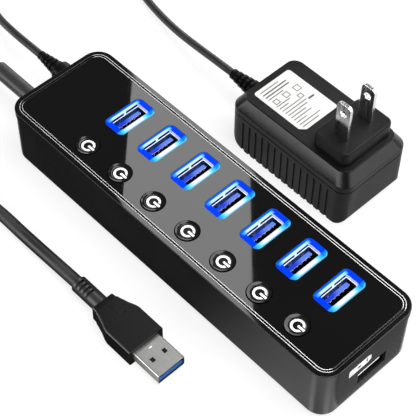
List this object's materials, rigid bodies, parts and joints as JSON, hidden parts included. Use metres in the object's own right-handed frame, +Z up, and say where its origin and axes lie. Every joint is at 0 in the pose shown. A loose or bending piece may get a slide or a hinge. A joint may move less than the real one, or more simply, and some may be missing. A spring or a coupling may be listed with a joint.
{
  "type": "usb hub",
  "caption": "Long black desktop data hub with a row of lit sockets, a switch button for each, an end charging socket, a fixed data cable and a plug-in mains supply",
  "frame": {"origin": "under the middle of the hub's case, on the surface that its feet stand on", "axes": "+X along the case to the charging end, +Y to the side with the row of sockets, +Z up"},
  "size_m": [0.2876, 0.1622, 0.0495],
  "materials": {
    "case_black": "satin",
    "cover_gloss": "gloss",
    "plate_gloss": "gloss",
    "trim_metal": "polished",
    "foot_rubber": "matte",
    "screw_steel": "satin",
    "board_green": "satin",
    "socket_steel": "satin",
    "window_blue": "translucent",
    "button_black": "satin",
    "tongue_blue": "satin",
    "contact_gold": "polished",
    "switch_grey": "matte",
    "led_white": "gloss",
    "chip_black": "matte",
    "tongue_white": "satin",
    "cord_black": "satin",
    "grip_black": "satin",
    "plug_steel": "satin",
    "insulator_blue": "satin",
    "supply_black": "satin",
    "label_white": "satin",
    "board_tan": "satin",
    "core_yellow": "satin"
  },
  "bodies": {
    "hub": {"bottom_case": "case_black", "top_cover": "cover_gloss", "face_plate": "plate_gloss", "trim_ring": "trim_metal", "rubber_feet": "foot_rubber", "case_screws": "screw_steel", "main_board": "board_green", "port_shell_1": "socket_steel", "port_shell_2": "socket_steel", "port_shell_3": "socket_steel", "port_shell_4": "socket_steel", "port_shell_5": "socket_steel", "port_shell_6": "socket_steel", "port_shell_7": "socket_steel", "port_tongues": "tongue_blue", "port_contacts": "contact_gold", "light_window_1": "window_blue", "light_window_2": "window_blue", "light_window_3": "window_blue", "light_window_4": "window_blue", "light_window_5": "window_blue", "light_window_6": "window_blue", "light_window_7": "window_blue", "switch_bodies": "switch_grey", "indicator_leds": "led_white", "board_chips": "chip_black", "dc_jack": "chip_black", "charge_port_shell": "socket_steel", "charge_port_tongue": "tongue_white", "data_sleeve": "cord_black", "data_cable_hub_side": "cord_black", "data_cable_coil": "cord_black", "data_cable_plug_side": "cord_black", "data_coil_tie": "cord_black", "data_plug_grip": "grip_black", "data_plug_shell": "plug_steel", "data_plug_insulator": "insulator_blue"},
    "power_supply": {"dc_plug_grip": "grip_black", "dc_plug_barrel": "plug_steel", "power_cable_hub_side": "cord_black", "power_cable_coil": "cord_black", "power_cable_supply_side": "cord_black", "power_coil_tie": "cord_black", "supply_lower_shell": "supply_black", "supply_upper_shell": "supply_black", "supply_blades": "plug_steel", "supply_relief": "grip_black", "supply_label": "label_white", "supply_board": "board_tan", "supply_transformer": "core_yellow"},
    "button_1": {"power_button_1": "button_black"},
    "button_2": {"power_button_2": "button_black"},
    "button_3": {"power_button_3": "button_black"},
    "button_4": {"power_button_4": "button_black"},
    "button_5": {"power_button_5": "button_black"},
    "button_6": {"power_button_6": "button_black"},
    "button_7": {"power_button_7": "button_black"}
  },
  "joints": [
    {"name": "button_1_press", "type": "slide", "parent": "hub", "child": "button_1", "axis": [0, 0, -1], "range_m": [0, 0.0012], "stiffness_N_per_m": 800},
    {"name": "button_2_press", "type": "slide", "parent": "hub", "child": "button_2", "axis": [0, 0, -1], "range_m": [0, 0.0012], "stiffness_N_per_m": 800},
    {"name": "button_3_press", "type": "slide", "parent": "hub", "child": "button_3", "axis": [0, 0, -1], "range_m": [0, 0.0012], "stiffness_N_per_m": 800},
    {"name": "button_4_press", "type": "slide", "parent": "hub", "child": "button_4", "axis": [0, 0, -1], "range_m": [0, 0.0012], "stiffness_N_per_m": 800},
    {"name": "button_5_press", "type": "slide", "parent": "hub", "child": "button_5", "axis": [0, 0, -1], "range_m": [0, 0.0012], "stiffness_N_per_m": 800},
    {"name": "button_6_press", "type": "slide", "parent": "hub", "child": "button_6", "axis": [0, 0, -1], "range_m": [0, 0.0012], "stiffness_N_per_m": 800},
    {"name": "button_7_press", "type": "slide", "parent": "hub", "child": "button_7", "axis": [0, 0, -1], "range_m": [0, 0.0012], "stiffness_N_per_m": 800},
    {"name": "power_plug_pull", "type": "slide", "parent": "hub", "child": "power_supply", "axis": [-1, 0, 0], "range_m": [0, 0.015]}
  ]
}
